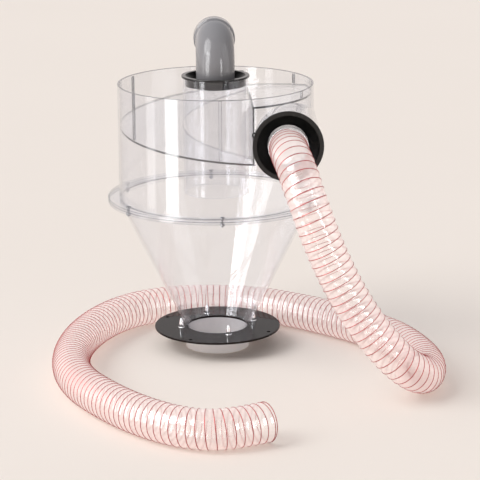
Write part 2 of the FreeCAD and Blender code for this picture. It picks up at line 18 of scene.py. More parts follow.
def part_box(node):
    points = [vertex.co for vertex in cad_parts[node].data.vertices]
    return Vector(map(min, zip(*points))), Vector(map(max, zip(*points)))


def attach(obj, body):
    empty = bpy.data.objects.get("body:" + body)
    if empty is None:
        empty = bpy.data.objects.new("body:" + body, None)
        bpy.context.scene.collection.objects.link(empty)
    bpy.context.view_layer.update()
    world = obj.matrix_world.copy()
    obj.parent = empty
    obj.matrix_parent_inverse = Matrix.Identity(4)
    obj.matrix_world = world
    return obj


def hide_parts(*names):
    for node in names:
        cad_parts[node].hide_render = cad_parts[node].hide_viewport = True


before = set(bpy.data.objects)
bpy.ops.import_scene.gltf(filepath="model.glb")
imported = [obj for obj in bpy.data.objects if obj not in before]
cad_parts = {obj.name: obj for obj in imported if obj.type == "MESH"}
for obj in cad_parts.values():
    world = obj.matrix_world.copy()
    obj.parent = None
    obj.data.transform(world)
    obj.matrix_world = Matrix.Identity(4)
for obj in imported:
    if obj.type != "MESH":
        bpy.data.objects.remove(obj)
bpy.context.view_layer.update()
print(f"{len(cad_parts)} CAD parts")

# %% [markdown]
# ## Camera
#
# A product shot uses a long lens from a few metres away, so that round things keep their shape
# and upright lines stay upright. The camera looks down on the object at about fifteen degrees.
# A camera in Blender looks along its own -Z, so it is stood up by a turn about X, then turned
# about Z, and last it is rolled about its own line of sight. Its lens and sensor are in
# millimetres.

# %% Camera
CAMERA_PLACE = Vector((-0.00126, -3.07535, 0.98614))
LOOK_DOWN = math.radians(14.823)
LOOK_RIGHT = math.radians(0.709)
ROLL = math.radians(-0.313)
LENS = 150.52
SENSOR = 36
FARTHEST_SEEN = 200

camera = bpy.data.objects.new("camera", bpy.data.cameras.new("camera"))
camera.data.lens = LENS
camera.data.sensor_width = SENSOR
camera.data.clip_end = FARTHEST_SEEN
camera.matrix_world = (
    Matrix.Translation(CAMERA_PLACE)
    @ Matrix.Rotation(-LOOK_RIGHT, 4, "Z")
    @ Matrix.Rotation(math.pi / 2 - LOOK_DOWN, 4, "X")
    @ Matrix.Rotation(ROLL, 4, "Z")
)
bpy.context.scene.collection.objects.link(camera)
bpy.context.scene.camera = camera
print(f"camera {CAMERA_PLACE.length:.2f} m away")

# %% [markdown]
# ## Shader sums as plain expressions
#
# A procedural finish is a small program made of nodes. Placing dozens of Math nodes by hand is
# hard to read, so a small class stands for the number that a node gives, and its operators add
# the Math nodes. The reflected operators, such as __rsub__, let a plain number stand first, as
# in 1 - mask.

# %% Numbers that nodes give
class Number:
    """The number, colour or vector that a node gives."""

    def __init__(self, finish, socket):
        self.finish = finish
        self.socket = socket

    def sum(self, operation, *values):
        sockets = dict(enumerate(values))
        return self.finish.node("Math", {"operation": operation}, sockets)

    def __add__(self, other):
        return self.sum("ADD", self, other)

    def __sub__(self, other):
        return self.sum("SUBTRACT", self, other)

    def __rsub__(self, other):
        return self.sum("SUBTRACT", other, self)

    def __mul__(self, other):
        return self.sum("MULTIPLY", self, other)

    def __pow__(self, other):
        return self.sum("POWER", self, other)

    def __abs__(self):
        return self.sum("ABSOLUTE", self)

    __radd__ = __add__
    __rmul__ = __mul__

    def fraction(self):
        return self.sum("FRACT", self)

    def rise(self, low, high):
        """Runs smoothly from 0 to 1 while this number goes from low to high."""
        ends = {"Value": self, "From Min": low, "From Max": high}
        return self.finish.node("MapRange", {"interpolation_type": "SMOOTHSTEP"}, ends)


# %% [markdown]
# ## Finishes
#
# Every node that isn't a sum comes from one method, which takes the node's type, its settings
# and what goes into its sockets. The settings come first, because they decide which sockets a
# node has. The shorter methods name the nodes that this object's finishes use most: where a
# point is, cloudy noise, a colour between two others, and how far a surface turns from the eye.

# %% A finish
class Finish:
    """A node material that is built up with its node method."""

    def __init__(self, name):
        self.material = bpy.data.materials.new(name)
        self.material.use_nodes = True
        self.tree = self.material.node_tree
        self.tree.nodes.clear()
        print(f"finish: {name}")

    def node(self, kind, settings, sockets, gives=None):
        """Adds a node and returns its first live output, or the one named by gives."""
        node = self.tree.nodes.new("ShaderNode" + kind)
        for name, value in settings.items():
            setattr(node, name, value)
        for name, value in sockets.items():
            if isinstance(name, int):
                socket = node.inputs[name]
            else:
                socket = next(s for s in node.inputs if s.enabled and s.name == name)
            if isinstance(value, Number):
                self.tree.links.new(value.socket, socket)
            else:
                socket.default_value = value
        outputs = [s for s in node.outputs if s.enabled]
        chosen = next(s for s in outputs if gives in (None, s.name))
        return Number(self, chosen)

    def place(self):
        """Where a point of the surface is, in the object's own metres."""
        return self.node("TexCoord", {}, {}, "Object")

    def part(self, vector, axis):
        """One axis of a vector, as a number."""
        return self.node("SeparateXYZ", {}, {0: vector}, axis)

    def distance(self, centre, across):
        """How far a point is from a centre, measured only along the axes that across keeps."""
        off = self.node("VectorMath", {"operation": "SUBTRACT"}, {0: self.place(), 1: centre})
        flat = self.node("VectorMath", {"operation": "MULTIPLY"}, {0: off, 1: across})
        return self.node("VectorMath", {"operation": "LENGTH"}, {0: flat}, "Value")

    def facing(self):
        """0 where the surface faces the eye, rising to 1 at its outline."""
        return self.node("LayerWeight", {}, {"Blend": 0.5}, "Facing")

    def noise(self, scale, detail=2.0):
        """Cloudy noise between 0 and 1, with scale features to a metre."""
        sockets = {"Vector": self.place(), "Scale": scale, "Detail": detail}
        return self.node("TexNoise", {}, sockets)

    def colours(self, share, first, second):
        """A colour that goes from the first to the second as share goes from 0 to 1."""
        ends = [c if isinstance(c, Number) else (*c, 1) for c in (first, second)]
        sockets = {"Factor": share, "A": ends[0], "B": ends[1]}
        return self.node("Mix", {"data_type": "RGBA"}, sockets)

    def bump(self, height, distance):
        """Surface bumps that are distance deep where height is 1."""
        return self.node("Bump", {}, {"Height": height, "Distance": distance, "Strength": 1.0})

    def see_through(self, *colour):
        return self.node("BsdfTransparent", {}, {"Color": (*colour, 1)})

    def plastic(self, **sockets):
        named = {name.replace("_", " "): value for name, value in sockets.items()}
        return self.node("BsdfPrincipled", {}, named)

    def mirror(self, roughness):
        return self.plastic(Base_Color=(1, 1, 1, 1), Metallic=1.0, Roughness=roughness)

    def mix(self, share, first, second):
        return self.node("MixShader", {}, {0: share, 1: first, 2: second})

    def done(self, shader):
        """Ends the finish in a shader and gives its material."""
        output = self.tree.nodes.new("ShaderNodeOutputMaterial")
        self.tree.links.new(shader.socket, output.inputs["Surface"])
        return self.material


# %% [markdown]
# ## Pieces
#
# Every new piece is shaped as a bmesh, which is Blender's mesh with editing operators. One
# helper turns a finished bmesh into an object: faces are shaded smooth except across sharp
# corners, the object gets its finish and hangs under the root body, and the CAD parts that it
# stands for are hidden. The Weighted Normal modifier keeps large flat faces looking flat up to
# their rounded edges.

# %% From a bmesh to a piece
SHARP = math.radians(35)


def make_piece(name, shape, finish, slot, *nodes):
    """An object from a bmesh, which stands for the named CAD nodes."""
    mesh = bpy.data.meshes.new(name)
    shape.to_mesh(mesh)
    shape.free()
    mesh.shade_smooth()
    mesh.set_sharp_from_angle(angle=SHARP)
    mesh.materials.append(finish)
    piece = bpy.data.objects.new(name, mesh)
    bpy.context.scene.collection.objects.link(piece)
    flat_faces = piece.modifiers.new("flat_faces", "WEIGHTED_NORMAL")
    flat_faces.keep_sharp = True
    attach(piece, "root")
    if nodes:
        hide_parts(*nodes)
    print(f"piece: {name}, {len(mesh.polygons)} faces")
    return piece


# %% [markdown]
# ## The hose's film
#
# The hose is a clear film over a spring of copper-coloured wire. The film is thin, so it is
# mostly seen through. Its rose tint is painted light, the wire's colour scattered in the film:
# strongest close to the wire and where the film turns edge-on. Its own UV map says where the
# wire is, since V counts the turns and so its fraction is the way from one wire to the next. The
# fifth power of facing is a fair Fresnel curve, so it decides how much the film mirrors. Part of
# the film is translucent, and a weak painted glow, an emission in the rose tint, stands for the
# light that scatters inside it.

# %% Film finish
def hose_film():
    finish = Finish("hose_film")
    turns = finish.node("UVMap", {"uv_map": "turns"}, {})
    between = finish.part(turns, "Y").fraction()
    near_wire = 1 - (1 - abs(between * 2 - 1)).rise(0.0, 0.4)
    facing = finish.facing()
    clouds = finish.noise(90, 3.0)
    # painted light: the rose stands for the wire's colour scattered in the film
    rose = near_wire * 0.5 + facing * 0.2 + clouds * 0.1
    tint = finish.colours(rose, (1.0, 0.96, 0.93), (1.0, 0.63, 0.59))
    film = finish.plastic(
        Base_Color=tint,
        Roughness=0.14 + clouds * 0.08,
        IOR=1.5,
        # painted glow: a weak emission in the rose tint, though the film is no lamp
        Emission_Color=tint,
        Emission_Strength=0.40,
        Normal=finish.bump(finish.noise(160), 0.00005),
    )
    glow = finish.node("BsdfTranslucent", {}, {"Color": (1.0, 0.87, 0.83, 1)})
    skin = finish.mix(
        facing * 0.45 + 0.24, finish.see_through(1.0, 0.965, 0.96), finish.mix(0.45, film, glow)
    )
    return finish.done(finish.mix(facing**5 * 0.5 + 0.08, skin, finish.mirror(0.15)))


HOSE_FILM = hose_film()

# %% [markdown]
# ## The hose's wire
#
# The wire is spring steel with a thin skin of copper. Fine noise varies its colour between dark
# and light copper, and the same noise roughens it and marks its surface.

# %% Metal finish
def metal(name, dark, light, metallic, roughness, spread, marks, depth):
    """Metal whose marks vary its colour and its roughness, and are a little deep."""
    finish = Finish(name)
    marked = finish.noise(*marks)
    skin = finish.plastic(
        Base_Color=finish.colours(marked, dark, light),
        Metallic=metallic,
        Roughness=roughness + marked * spread,
        Normal=finish.bump(marked, depth),
    )
    return finish.done(skin)


COPPER_WIRE = metal(
    "copper_wire", (0.21, 0.009, 0.015), (0.46, 0.048, 0.048), 0.55, 0.28, 0.15, (700, 2.0), 0.0001
)

# %% [markdown]
# ## The hose's line
#
# The hose comes level out of the cuff, hangs to the floor, folds back round the cyclone and
# comes forward to its free end. Its line is one NURBS curve through the same points as the CAD
# tube, so it bends as smoothly as the real thing. The spline's order is set after its points,
# because before them Blender lowers it to straight runs.

# %% Route
HOSE_ROUTE = (
    (0.1067, -0.1887, 0.3613),
    (0.1067, -0.2217, 0.3613),
    (0.114, -0.258, 0.351),
    (0.128, -0.298, 0.312),
    (0.158, -0.305, 0.228),
    (0.202, -0.305, 0.142),
    (0.258, -0.306, 0.070),
    (0.302, -0.273, 0.0323),
    (0.317, -0.209, 0.0293),
    (0.302, -0.131, 0.0293),
    (0.272, -0.058, 0.0293),
    (0.217, 0.007, 0.0293),
    (0.151, 0.069, 0.0293),
    (0.071, 0.126, 0.0293),
    (-0.024, 0.143, 0.0293),
    (-0.110, 0.123, 0.0293),
    (-0.172, 0.061, 0.0293),
    (-0.214, -0.043, 0.0293),
    (-0.227, -0.157, 0.0293),
    (-0.210, -0.264, 0.0293),
    (-0.156, -0.360, 0.0293),
    (-0.098, -0.431, 0.0293),
    (-0.039, -0.475, 0.0293),
    (0.019, -0.477, 0.0293),
    (0.067, -0.448, 0.0293),
)


def curve_points(route):
    """Points along a smooth NURBS curve that the route's points control."""
    curve = bpy.data.curves.new("hose_line", "CURVE")
    curve.dimensions = "3D"
    spline = curve.splines.new("NURBS")
    spline.points.add(len(route) - 1)
    for point, place in zip(spline.points, route):
        point.co = (*place, 1)
    spline.order_u = 3
    spline.use_endpoint_u = True
    spline.resolution_u = 24
    holder = bpy.data.objects.new("hose_line", curve)
    mesh = bpy.data.meshes.new_from_object(holder)
    points = np.array([vertex.co for vertex in mesh.vertices])
    bpy.data.objects.remove(holder)
    bpy.data.meshes.remove(mesh)
    return points


# %% [markdown]
# ## Directions along the hose
#
# The film and the wire are wound round the line, so every point of the line needs two side
# directions. Each one is the last one with the part that points along the line taken out. That
# carries the sides along without a twist, even where the hose bends in all three directions.

# %% A line with sides
class Line:
    """A curve in space that gives its place and its two side directions at any length."""

    def __init__(self, points):
        steps = np.linalg.norm(np.diff(points, axis=0), axis=1)
        keep = np.append(True, steps > 1e-7)
        self.points = points[keep]
        steps = np.linalg.norm(np.diff(self.points, axis=0), axis=1)
        self.at = np.append(0, np.cumsum(steps))
        self.length = self.at[-1]
        self.ahead = np.gradient(self.points, self.at, axis=0)
        self.ahead /= np.linalg.norm(self.ahead, axis=1)[:, None]
        side = np.array((0.0, 0.0, 1.0))
        sides = []
        for way in self.ahead:
            side = side - way * side.dot(way)
            side /= np.linalg.norm(side)
            sides.append(side)
        self.side = np.array(sides)

    def ring(self, along, turn, radius):
        """Points at lengths along the line, turned round it and held off it by a radius."""

        def read(values):
            return np.stack([np.interp(along, self.at, v) for v in values.T], axis=-1)

        ahead = read(self.ahead)
        side = read(self.side)
        other = np.cross(ahead, side)
        out = side * np.cos(turn)[..., None] + other * np.sin(turn)[..., None]
        return read(self.points) + out * radius[..., None]


hose_line = Line(curve_points(HOSE_ROUTE))
print(f"hose line {hose_line.length:.3f} m")

# %% [markdown]
# ## Turns of wire
#
# The hose's own weight stretches it where it hangs, so its turns are a little farther apart
# there than on the floor. The turns are counted once along the line, and from that count the
# length at any turn is read back.

# %% Turns
HANGING_PITCH = 0.0121
LYING_PITCH = 0.0106
TOUCH_DOWN = (0.36, 0.48)

pitch = np.interp(hose_line.at, TOUCH_DOWN, (HANGING_PITCH, LYING_PITCH))
turns_at = np.append(0, np.cumsum(np.diff(hose_line.at) / pitch[1:]))
TURNS = turns_at[-1]
print(f"{TURNS:.0f} turns of wire")


def along_at(turns):
    """How far along the hose a number of turns of wire reaches."""
    return np.interp(turns, turns_at, hose_line.at)


# %% [markdown]
# ## Rolling up the film and the wire
#
# A Screw modifier would make a straight spring, and an Array on a curve would join its turns
# badly in the bends. So the film and the wire are each a flat grid that is rolled up along the
# line. The film's grid is rolled slantwise, one turn of wire higher each time round, so its rows
# run exactly along the wire and the film can dip between them.

# %% A rolled grid
FULL_TURN = 2 * math.pi


def rolled_grid(columns, rows, place):
    """A flat grid whose points move to place(column share, row) and join where they meet."""
    shape = bmesh.new()
    shape.loops.layers.uv.new("turns")
    bmesh.ops.create_grid(shape, x_segments=columns, y_segments=rows, size=0.5, calc_uvs=True)
    flat = np.array([vertex.co for vertex in shape.verts])
    places = place(flat[:, 0] + 0.5, (flat[:, 1] + 0.5) * rows)
    for vertex, where in zip(shape.verts, places):
        vertex.co = where
    bmesh.ops.remove_doubles(shape, verts=shape.verts, dist=1e-6)
    bmesh.ops.recalc_face_normals(shape, faces=shape.faces)
    return shape


# %% Film
HOSE_RADIUS = 0.029
WIRE_RADIUS = 0.0005
FILM_ROUND = 40
FILM_PER_TURN = 10
FILM_TURNS = math.ceil(TURNS) + 1
DIP_AT = (0.0, 0.06, 0.14, 0.34, 0.42, 0.56, 0.85, 1.35, 1.60, 2.0)
DIP_MILLIMETRES = (0.3, 0.4, 0.8, 0.8, 0.35, 0.15, 0.15, 0.15, 0.35, 0.65)


def film_place(share, row):
    """The film touches the wire at each turn and dips between, deepest where it hangs."""
    along = along_at(row / FILM_PER_TURN + share - 1)
    between = np.sin(math.pi * (row / FILM_PER_TURN)) ** 2
    dip = np.interp(along, DIP_AT, DIP_MILLIMETRES) / 1000
    radius = HOSE_RADIUS - WIRE_RADIUS - dip * between**0.8
    return hose_line.ring(along, share * FULL_TURN, radius)


film = rolled_grid(FILM_ROUND, FILM_TURNS * FILM_PER_TURN, film_place)
for loop in (loop for face in film.faces for loop in face.loops):
    loop[film.loops.layers.uv["turns"]].uv.y *= FILM_TURNS
hose = make_piece("hose_film", film, HOSE_FILM, "hose_film", "hose")

# %% Wire
WIRE_ROUND = 6
WIRE_PER_TURN = 30


def wire_place(share, row):
    """The wire's section is a small ring, rolled up along a helix that ends in a flat ring."""
    along = along_at(row / WIRE_PER_TURN)
    turn = row / WIRE_PER_TURN * FULL_TURN
    out = HOSE_RADIUS - WIRE_RADIUS + WIRE_RADIUS * np.cos(share * FULL_TURN)
    shift = WIRE_RADIUS * np.sin(share * FULL_TURN)
    end = hose_line.length - WIRE_RADIUS
    return hose_line.ring(np.clip(along, WIRE_RADIUS, end) + shift, turn, out)


wire = rolled_grid(WIRE_ROUND, int((TURNS + 1) * WIRE_PER_TURN), wire_place)
hose_wire = make_piece("hose_wire", wire, COPPER_WIRE, "copper_wire")

# %% [markdown]
# ## Floor
#
# The object stands on a plain pale floor. One big square is enough, as long as it runs out past
# the camera's view. Its warm colour drifts a little from place to place, and fine bumps keep it
# from looking like a flat fill.

# %% Floor
FLOOR_HALF_WIDTH = 40


def floor_finish():
    finish = Finish("floor")
    paper = finish.plastic(
        Base_Color=finish.colours(finish.noise(1.2), (0.870, 0.798, 0.728), (0.890, 0.818, 0.748)),
        Roughness=0.9,
        Specular_IOR_Level=0.15,
        Normal=finish.bump(finish.noise(900, 1.0), 0.00005),
    )
    return finish.done(paper)


floor_shape = bmesh.new()
bmesh.ops.create_grid(floor_shape, x_segments=1, y_segments=1, size=FLOOR_HALF_WIDTH)
floor_mesh = bpy.data.meshes.new("floor")
floor_shape.to_mesh(floor_mesh)
floor_shape.free()
floor_mesh.materials.append(floor_finish())
floor = bpy.data.objects.new("floor", floor_mesh)
bpy.context.scene.collection.objects.link(floor)

# %% [markdown]
# ## Sky
#
# An even sky gives most of the light. It is warm and bright near the horizon, cooler and dimmer
# above, and dimmer on the right than on the left. That difference shades the round pieces from
# side to side, as a window on the left would. The Standard view transform keeps pale colours
# pale, and many see-through surfaces lie behind each other here, so more of them are allowed.

# %% Sky
HORIZON = (1.04, 0.96, 0.92, 1)
HIGH_SKY = (0.58, 0.58, 0.60, 1)
HIGH_SKY_FROM = 0.55
MIDDLE_BRIGHTNESS = 1.0
CHANGE_TO_THE_RIGHT = -0.40


def studio_sky():
    world = bpy.data.worlds.new("studio")
    world.use_nodes = True
    nodes, links = world.node_tree.nodes, world.node_tree.links
    way = nodes.new("ShaderNodeTexCoord")
    axes = nodes.new("ShaderNodeSeparateXYZ")
    links.new(way.outputs["Generated"], axes.inputs[0])
    ramp = nodes.new("ShaderNodeValToRGB")
    low, high = ramp.color_ramp.elements
    low.position, low.color = 0.0, HORIZON
    high.position, high.color = HIGH_SKY_FROM, HIGH_SKY
    links.new(axes.outputs["Z"], ramp.inputs[0])
    links.new(ramp.outputs["Color"], nodes["Background"].inputs["Color"])
    dimmer = nodes.new("ShaderNodeMath")
    dimmer.operation = "MULTIPLY_ADD"
    dimmer.inputs[1].default_value = CHANGE_TO_THE_RIGHT
    dimmer.inputs[2].default_value = MIDDLE_BRIGHTNESS
    links.new(axes.outputs["X"], dimmer.inputs[0])
    links.new(dimmer.outputs[0], nodes["Background"].inputs["Strength"])
    return world


bpy.context.scene.world = studio_sky()
bpy.context.scene.view_settings.view_transform = "Standard"
bpy.context.scene.cycles.transparent_max_bounces = 48

# %% [markdown]
# ## Sun and cards
#
# One soft sun from the left gives the shadows their side. Clear plastic shows itself by what it
# mirrors, and for that white cards stand round it, as in a studio: two low ones and one high one
# for the body, one far to the right, one over the left shoulder for the cone's back wall, and a
# tall one on each side. They are seen only in reflections: switching off their diffuse light
# keeps the floor even. An area light's power is shared over its size, so it is worked out from
# the brightness that the card should have.

# %% Lights
def aim(light, place, target):
    way = Vector(target) - Vector(place)
    turn = way.to_track_quat("-Z", "Y").to_matrix().to_4x4()
    light.matrix_world = Matrix.Translation(place) @ turn
    bpy.context.scene.collection.objects.link(light)


def sun(name, place, strength, spread):
    data = bpy.data.lights.new(name, "SUN")
    data.energy = strength
    data.angle = math.radians(spread)
    aim(bpy.data.objects.new(name, data), place, (0, 0, 0))


def card(name, place, target, width, tall, brightness):
    """A white card that is seen only in reflections."""
    data = bpy.data.lights.new(name, "AREA")
    data.shape = "RECTANGLE"
    data.size = width
    data.size_y = tall
    data.energy = brightness * width * tall * math.pi
    light = bpy.data.objects.new(name, data)
    light.visible_camera = False
    light.visible_diffuse = False
    aim(light, place, target)
    print(f"card: {name}")


sun("soft_sun", (-2.8, -1.2, 3.0), 1.60, 38)
card("left_side", (-0.70, -0.19, 0.60), (-0.10, -0.11, 0.60), 0.15, 1.2, 2.0)
card("left_low", (-0.57, -0.51, 0.155), (-0.07, -0.14, 0.155), 0.20, 0.31, 5.0)
card("left_high", (-0.57, -0.51, 0.67), (-0.07, -0.14, 0.67), 0.33, 0.70, 6.5)
card("right_side", (0.72, -0.25, 0.60), (0.1, -0.1, 0.60), 0.55, 1.2, 1.0)
card("right_low", (0.41, -0.65, 0.155), (0.05, -0.14, 0.155), 0.12, 0.31, 2.2)
card("right_far", (1.00, -1.35, 0.68), (0.05, -0.14, 0.68), 0.24, 0.96, 8.5)
card("high_card", (-1.25, -1.40, 1.37), (0, 0, 0.15), 0.36, 0.9, 3.0)

# %% [markdown]
# ## Clear acrylic
#
# Clear acrylic is hard to see: it takes almost no light out, mirrors a few percent of the room
# face-on and much more near its outline, and looks grey where the eye runs along inside a wall
# or meets a cut edge. A full glass shader would give all that, but slowly and with noise. This
# finish mixes three simple shaders instead: one that is seen through, one that mirrors, and a
# veil for outlines, cut edges and a trace of dust. The veil is pale where the wall faces the
# eye and dark grey at its outline.

# %% Clear finish
PALE_VEIL = (0.90, 0.88, 0.95)
DARK_VEIL = (0.33, 0.32, 0.34)
DARK_EDGE = (0.03, 0.03, 0.033)


def clear_plastic(
    name, cut_edge, edge_colour, outline, mirror_rise=0.8, haze=0.025, tint=0.97, face_on=0.04
):
    """Clear plastic.

    cut_edge(finish) is a mask of the cut edges and edge_colour is their colour. outline is how
    much the wall's outline shows, haze how milky it is, and tint how much light it passes.
    face_on and mirror_rise are how much it mirrors face-on and how much more at its outline.
    """
    finish = Finish(name)
    facing = finish.facing()
    dust = finish.noise(38, 5.0).rise(0.45, 0.85)
    cut = cut_edge(finish)
    veil = finish.colours(facing.rise(0.55, 0.95), PALE_VEIL, DARK_VEIL)
    grey = finish.plastic(
        Base_Color=finish.colours(cut * 4, veil, edge_colour), Roughness=0.12 + dust * 0.2
    )
    body = dust * 0.012 + (facing**4 * 0.3 + facing**14) * outline + cut + haze
    clear = finish.see_through(tint - 0.003, tint, tint + 0.008)
    mirror = finish.mirror(0.015 + dust * 0.03)
    shine = facing**5 * mirror_rise * (1 - cut) + face_on
    return finish.done(finish.mix(shine, finish.mix(body, clear, grey), mirror))


# %% [markdown]
# ## Where the cut edges are
#
# A cut edge scatters light and shows as a fine dark or pale line. Each kind of sheet has its
# edges in other places, so each gets its own mask, which is 1 on the edge and 0 elsewhere. The
# places come from the CAD parts' boxes. A turned wall has its edges at its top and bottom. The
# ramp's outer edge is dark from outside and pale where it is seen through the sheet.

# %% Mask helpers
def no_edges(finish):
    """For a sheet whose edges don't show."""
    return 0.0


def height(finish):
    """How high a point is over the floor."""
    return finish.part(finish.place(), "Z")


def from_axis(finish):
    """How far a point is from the cyclone's axis."""
    return finish.distance((0, 0, 0), (1, 1, 0))


def line_at(number, place, width):
    """1 within a width of a place, and 0 away from it."""
    return 1 - abs(number - place).rise(width * 0.5, width)


# %% Edge masks of turned walls and strips
RIM_LINE = 0.0010


def rim_edges(node, strength):
    """A mask of the rings of a turned wall at its lowest and highest edges."""
    low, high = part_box(node)

    def mask(finish):
        z = height(finish)
        return (line_at(z, high.z, RIM_LINE) + line_at(z, low.z, RIM_LINE)) * strength

    return mask


def strip_edges(finish):
    """Every face of a narrow strip that turns away from the eye."""
    return finish.facing().rise(0.05, 0.30) * 0.60 + 0.03


# %% Edge masks of sheets
RAMP_INSIDE = 0.0510
RAMP_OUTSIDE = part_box("spiral_ramp")[1].x
PLATE_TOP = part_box("ramp_step_plate")[1].z
RING_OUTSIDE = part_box("upper_joint_ring")[1].x
RING_FACES = [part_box("lower_joint_ring")[0].z] + [corner.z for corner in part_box("upper_joint_ring")]


def ramp_edges(finish):
    """The ramp's outer edge, dark from outside and pale from inside, and its inner edge."""
    behind = finish.node("NewGeometry", {}, {}, "Backfacing")
    reach = from_axis(finish)
    outer = reach.rise(RAMP_OUTSIDE - 0.0010, RAMP_OUTSIDE - 0.0004)
    inner = 1 - reach.rise(RAMP_INSIDE + 0.0004, RAMP_INSIDE + 0.0010)
    return outer * (0.96 - behind * 0.6) + inner * 0.22


def plate_edges(finish):
    """The step plate's outer and top edges, which are dark where they are glued."""
    outer = from_axis(finish).rise(RAMP_OUTSIDE - 0.0014, RAMP_OUTSIDE - 0.0008)
    top = height(finish).rise(PLATE_TOP - 0.0016, PLATE_TOP - 0.0010)
    return (outer + top) * 0.75


def ring_edges(finish):
    """The two joint rings' outer edge: pale, with fine dark lines at the three faces."""
    edge = from_axis(finish).rise(RING_OUTSIDE - 0.0016, RING_OUTSIDE - 0.0008)
    z = height(finish)
    lines = sum((line_at(z, face, 0.0008) for face in RING_FACES), start=0)
    return edge * (lines * 0.42 + 0.10)


# %% Clear finishes
BODY_CLEAR = clear_plastic(
    "clear_body", rim_edges("body_wall", 0.6), (0.08, 0.08, 0.09), 0.75, tint=0.965
)
CONE_CLEAR = clear_plastic(
    "clear_cone", no_edges, DARK_EDGE, 0.6, haze=0.0, tint=0.988, face_on=0.03
)
TUBE_CLEAR = clear_plastic(
    "clear_tube", rim_edges("outlet_tube", 0.06), DARK_EDGE, 0.6, haze=0.006, tint=0.972
)
RAMP_CLEAR = clear_plastic(
    "clear_ramp", ramp_edges, DARK_EDGE, 0.0, mirror_rise=0.35, haze=0.01, tint=0.985
)
RING_CLEAR = clear_plastic("clear_ring", ring_edges, (0.12, 0.12, 0.13), 0.0, mirror_rise=0.4)
PLATE_CLEAR = clear_plastic("clear_plate", plate_edges, DARK_EDGE, 1.0, mirror_rise=0.2)
STRIP_CLEAR = clear_plastic("clear_strip", strip_edges, (0.13, 0.13, 0.14), 0.5)
SHEET_CLEAR = clear_plastic("clear_sheet", no_edges, DARK_EDGE, 1.2, haze=0.01, tint=0.975)

# %% [markdown]
# ## Clear body, ramp, rings and strips
#
# The acrylic parts already have the right shape in the CAD model, but CAD corners are perfectly
# sharp, and a real cut edge is scraped and polished until it catches the light. So each part is
# copied, its loose triangles are joined, its flat faces are cleared of spare edges, and its
# sharp edges are given a small bevel. A Bevel modifier would do it too, but it would work on the
# spare edges as well.

# %% Softening a copy
SPARE_EDGE = math.radians(0.5)
CUT_CORNER = math.radians(50)


def softened_copy(node, soften):
    """A copy of a CAD part with its sharp edges rounded off by soften."""
    shape = bmesh.new()
    shape.from_mesh(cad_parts[node].data)
    bmesh.ops.remove_doubles(shape, verts=shape.verts, dist=1e-6)
    bmesh.ops.dissolve_limit(
        shape, angle_limit=SPARE_EDGE, verts=shape.verts, edges=shape.edges
    )
    sharp = [e for e in shape.edges if e.is_manifold and e.calc_face_angle() > CUT_CORNER]
    bmesh.ops.bevel(
        shape, geom=sharp, offset=soften, segments=2, profile=0.5, affect="EDGES", material=-1
    )
    return shape


# %% Clear parts with softened edges
SHEET_EDGE = 0.0003
STRIP_EDGE = 0.0008
CLEAR_PARTS = {
    "body_wall": (BODY_CLEAR, "clear_tube", SHEET_EDGE),
    "inlet_tube": (SHEET_CLEAR, "clear_tube", SHEET_EDGE),
    "spiral_ramp": (RAMP_CLEAR, "clear_sheet", SHEET_EDGE),
    "ramp_step_plate": (PLATE_CLEAR, "clear_sheet", SHEET_EDGE),
    "upper_joint_ring": (RING_CLEAR, "clear_sheet", SHEET_EDGE),
    "lower_joint_ring": (RING_CLEAR, "clear_sheet", SHEET_EDGE),
}
for node in sorted(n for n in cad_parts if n.startswith("ramp_strip")):
    CLEAR_PARTS[node] = (STRIP_CLEAR, "clear_sheet", STRIP_EDGE)
for node, (finish, slot, soften) in CLEAR_PARTS.items():
    make_piece("shown_" + node, softened_copy(node, soften), finish, slot, node)

# %% [markdown]
# ## Turned pieces
#
# The cone, the tubes, the collars and the screws are all round. Each is drawn as half of its
# section, the section's corners are rounded, and it is spun about an axis, as on a lathe. The
# edges that lie on the axis are taken out first, because they would spin into flat slivers.

# %% Spinning a section
def turned(outline, soften, steps):
    """A closed section of (radius, z) corners, rounded by soften and spun about Z."""
    shape = bmesh.new()
    corners = [shape.verts.new((radius, 0, z)) for radius, z in outline]
    shape.faces.new(corners)
    off_axis = [v for v in corners if v.co.x > 1e-6]
    bmesh.ops.bevel(
        shape,
        geom=off_axis,
        offset=soften,
        segments=3,
        profile=0.5,
        affect="VERTICES",
        material=-1,
    )
    bmesh.ops.delete(shape, geom=shape.faces[:], context="FACES_ONLY")
    on_axis = [e for e in shape.edges if all(v.co.x < 1e-6 for v in e.verts)]
    bmesh.ops.delete(shape, geom=on_axis, context="EDGES")
    bmesh.ops.spin(
        shape,
        geom=shape.verts[:] + shape.edges[:],
        cent=(0, 0, 0),
        axis=(0, 0, 1),
        angle=FULL_TURN,
        steps=steps,
        use_merge=True,
    )
    bmesh.ops.remove_doubles(shape, verts=shape.verts, dist=1e-7)
    bmesh.ops.recalc_face_normals(shape, faces=shape.faces)
    return shape


def tube(bore, outside, low, high, soften, steps):
    """A straight tube that stands on Z."""
    section = [(bore, low), (outside, low), (outside, high), (bore, high)]
    return turned(section, soften, steps)


# %% Putting shapes in place and together
def placed(shape, matrix):
    bmesh.ops.transform(shape, matrix=matrix, verts=shape.verts)
    return shape


def joined(*shapes):
    """All the shapes as one bmesh."""
    whole = bmesh.new()
    for shape in shapes:
        mesh = bpy.data.meshes.new("joining")
        shape.to_mesh(mesh)
        shape.free()
        whole.from_mesh(mesh)
        bpy.data.meshes.remove(mesh)
    return whole


